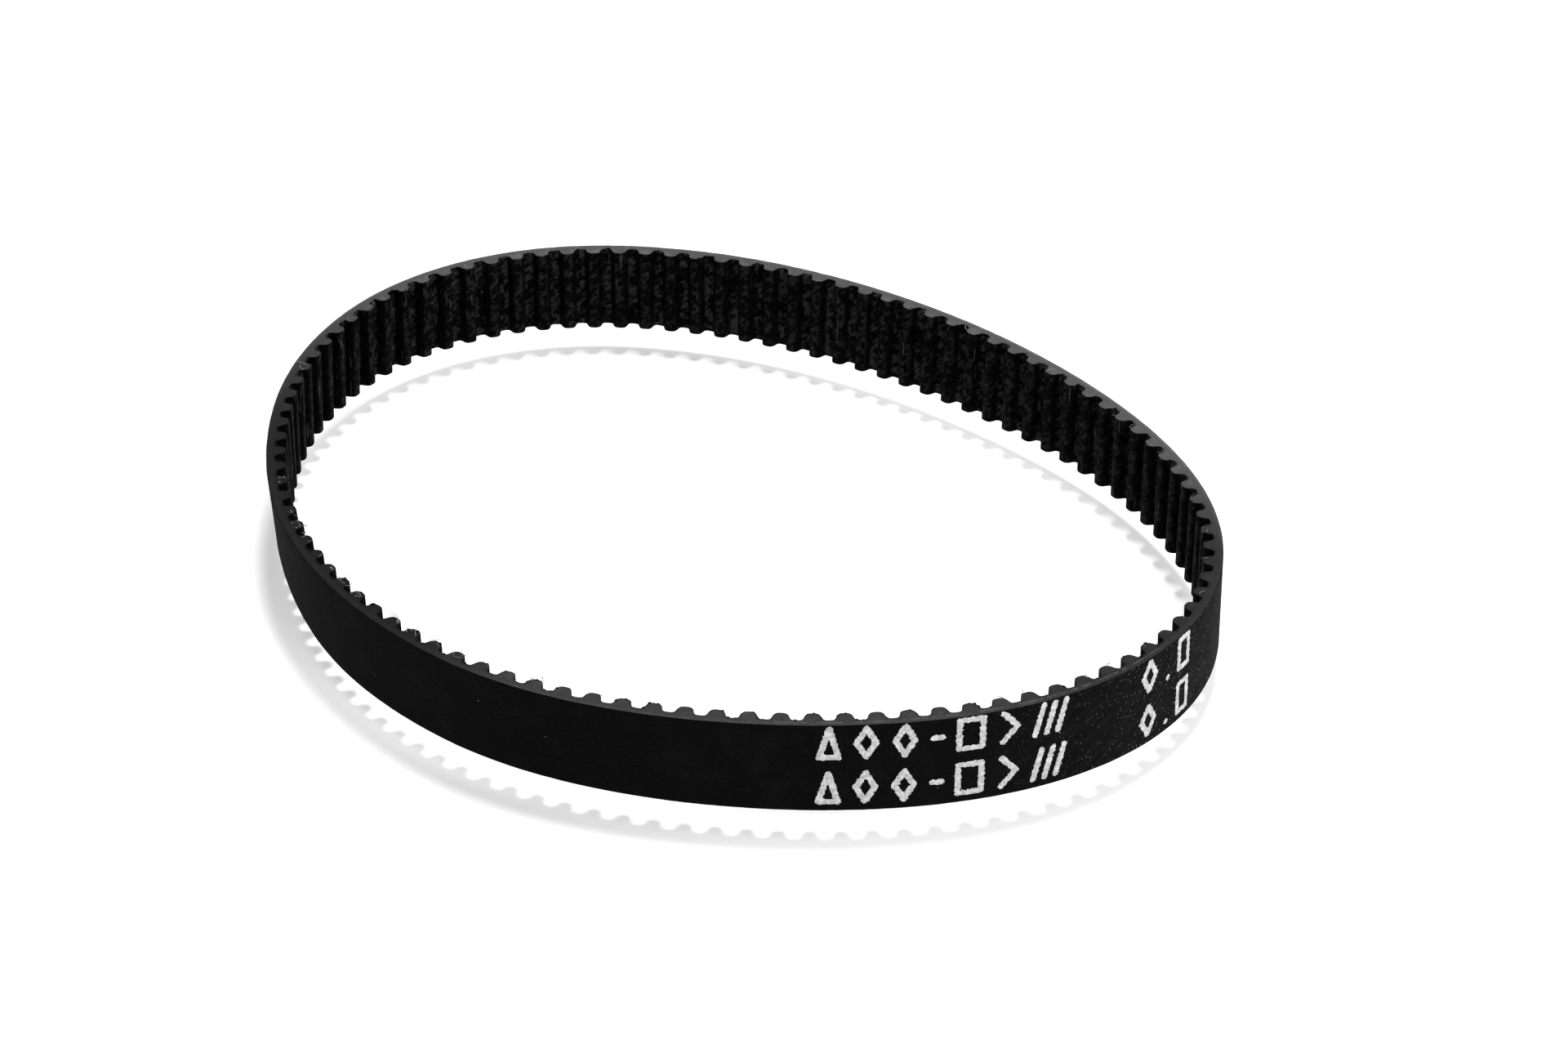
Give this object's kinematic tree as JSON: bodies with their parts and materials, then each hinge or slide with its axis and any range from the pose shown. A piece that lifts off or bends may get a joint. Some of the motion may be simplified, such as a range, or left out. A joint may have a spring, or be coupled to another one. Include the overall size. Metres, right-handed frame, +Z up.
{
  "type": "timing belt",
  "caption": "Endless toothed rubber drive belt of small round-topped teeth, standing on its cut edge as a loose oval loop that flexes when pinched.",
  "frame": {"origin": "on the floor under the middle of the standing loop's bounding box", "axes": "+Z up across the belt's width, +X along the loop's long axis"},
  "size_m": [0.072, 0.0568, 0.0065],
  "materials": {
    "backing_rubber": "matt, fine ground grain",
    "glass_fibre_cord": "twisted glass fibre with a dull treated surface",
    "tooth_rubber": "matt, knife-cut at the edges",
    "woven_facing": "black woven nylon, slight sheen"
  },
  "bodies": {
    "span_01": {"backing_01": "backing_rubber", "tension_cords_01": "glass_fibre_cord", "tooth_rubber_01": "tooth_rubber", "tooth_facing_01": "woven_facing"},
    "span_02": {"backing_02": "backing_rubber", "tension_cords_02": "glass_fibre_cord", "tooth_rubber_02": "tooth_rubber", "tooth_facing_02": "woven_facing"},
    "span_03": {"backing_03": "backing_rubber", "tension_cords_03": "glass_fibre_cord", "tooth_rubber_03": "tooth_rubber", "tooth_facing_03": "woven_facing"},
    "span_04": {"backing_04": "backing_rubber", "tension_cords_04": "glass_fibre_cord", "tooth_rubber_04": "tooth_rubber", "tooth_facing_04": "woven_facing"},
    "span_05": {"backing_05": "backing_rubber", "tension_cords_05": "glass_fibre_cord", "tooth_rubber_05": "tooth_rubber", "tooth_facing_05": "woven_facing"},
    "span_06": {"backing_06": "backing_rubber", "tension_cords_06": "glass_fibre_cord", "tooth_rubber_06": "tooth_rubber", "tooth_facing_06": "woven_facing"},
    "span_07": {"backing_07": "backing_rubber", "tension_cords_07": "glass_fibre_cord", "tooth_rubber_07": "tooth_rubber", "tooth_facing_07": "woven_facing"},
    "span_08": {"backing_08": "backing_rubber", "tension_cords_08": "glass_fibre_cord", "tooth_rubber_08": "tooth_rubber", "tooth_facing_08": "woven_facing"},
    "span_09": {"backing_09": "backing_rubber", "tension_cords_09": "glass_fibre_cord", "tooth_rubber_09": "tooth_rubber", "tooth_facing_09": "woven_facing"},
    "span_10": {"backing_10": "backing_rubber", "tension_cords_10": "glass_fibre_cord", "tooth_rubber_10": "tooth_rubber", "tooth_facing_10": "woven_facing"},
    "span_11": {"backing_11": "backing_rubber", "tension_cords_11": "glass_fibre_cord", "tooth_rubber_11": "tooth_rubber", "tooth_facing_11": "woven_facing"},
    "span_12": {"backing_12": "backing_rubber", "tension_cords_12": "glass_fibre_cord", "tooth_rubber_12": "tooth_rubber", "tooth_facing_12": "woven_facing"},
    "span_13": {"backing_13": "backing_rubber", "tension_cords_13": "glass_fibre_cord", "tooth_rubber_13": "tooth_rubber", "tooth_facing_13": "woven_facing"}
  },
  "joints": [
    {"name": "bend_07", "type": "hinge", "parent": "span_07", "child": "span_08", "pos_m": [0.0311, -0.0106, 0.00325], "axis": [0, 0, 1], "range_deg": [-6.2, 12.2]},
    {"name": "loop_pinch", "type": "hinge", "parent": "span_08", "child": "span_09", "pos_m": [0.03551, 0.00043, 0.00325], "axis": [0, 0, 1], "range_deg": [-9, 18], "stiffness_Nm_per_rad": 0.0067},
    {"name": "bend_09", "type": "hinge", "parent": "span_09", "child": "span_10", "pos_m": [0.03247, 0.01381, 0.00325], "axis": [0, 0, 1], "range_deg": [-4, 7.9]},
    {"name": "bend_10", "type": "hinge", "parent": "span_10", "child": "span_11", "pos_m": [0.01272, 0.02641, 0.00325], "axis": [0, 0, 1], "range_deg": [-13, 6.6]},
    {"name": "bend_11", "type": "hinge", "parent": "span_11", "child": "span_12", "pos_m": [0.00085, 0.02801, 0.00325], "axis": [0, 0, 1], "range_deg": [-13.2, 6.7]},
    {"name": "bend_12", "type": "hinge", "parent": "span_12", "child": "span_13", "pos_m": [-0.01304, 0.02666, 0.00325], "axis": [0, 0, 1], "range_deg": [-12.4, 6.3]},
    {"name": "bend_06", "type": "hinge", "parent": "span_07", "child": "span_06", "pos_m": [0.01248, -0.02528, 0.00325], "axis": [0, 0, 1], "range_deg": [-4.4, 8.7]},
    {"name": "bend_05", "type": "hinge", "parent": "span_06", "child": "span_05", "pos_m": [-0.00114, -0.02803, 0.00325], "axis": [0, 0, 1], "range_deg": [-10.5, 20.8]},
    {"name": "bend_04", "type": "hinge", "parent": "span_05", "child": "span_04", "pos_m": [-0.01281, -0.02553, 0.00325], "axis": [0, 0, 1], "range_deg": [-4.3, 8.5]},
    {"name": "bend_03", "type": "hinge", "parent": "span_04", "child": "span_03", "pos_m": [-0.03123, -0.01066, 0.00325], "axis": [0, 0, 1], "range_deg": [-11.6, 5.9]},
    {"name": "bend_02", "type": "hinge", "parent": "span_03", "child": "span_02", "pos_m": [-0.03566, 0.00243, 0.00325], "axis": [0, 0, 1], "range_deg": [-18.2, 9.2]},
    {"name": "bend_01", "type": "hinge", "parent": "span_02", "child": "span_01", "pos_m": [-0.03261, 0.01387, 0.00325], "axis": [0, 0, 1], "range_deg": [-8.5, 4.3]}
  ],
  "couplings": [
    {"joint": "bend_07", "follows": "loop_pinch", "ratio": 0.6691},
    {"joint": "bend_09", "follows": "loop_pinch", "ratio": 0.4301},
    {"joint": "bend_10", "follows": "loop_pinch", "ratio": -0.7119},
    {"joint": "bend_11", "follows": "loop_pinch", "ratio": -0.7249},
    {"joint": "bend_12", "follows": "loop_pinch", "ratio": -0.6829},
    {"joint": "bend_06", "follows": "loop_pinch", "ratio": 0.4751},
    {"joint": "bend_05", "follows": "loop_pinch", "ratio": 1.1463},
    {"joint": "bend_04", "follows": "loop_pinch", "ratio": 0.4626},
    {"joint": "bend_03", "follows": "loop_pinch", "ratio": -0.6369},
    {"joint": "bend_02", "follows": "loop_pinch", "ratio": -1.0046},
    {"joint": "bend_01", "follows": "loop_pinch", "ratio": -0.4634}
  ]
}
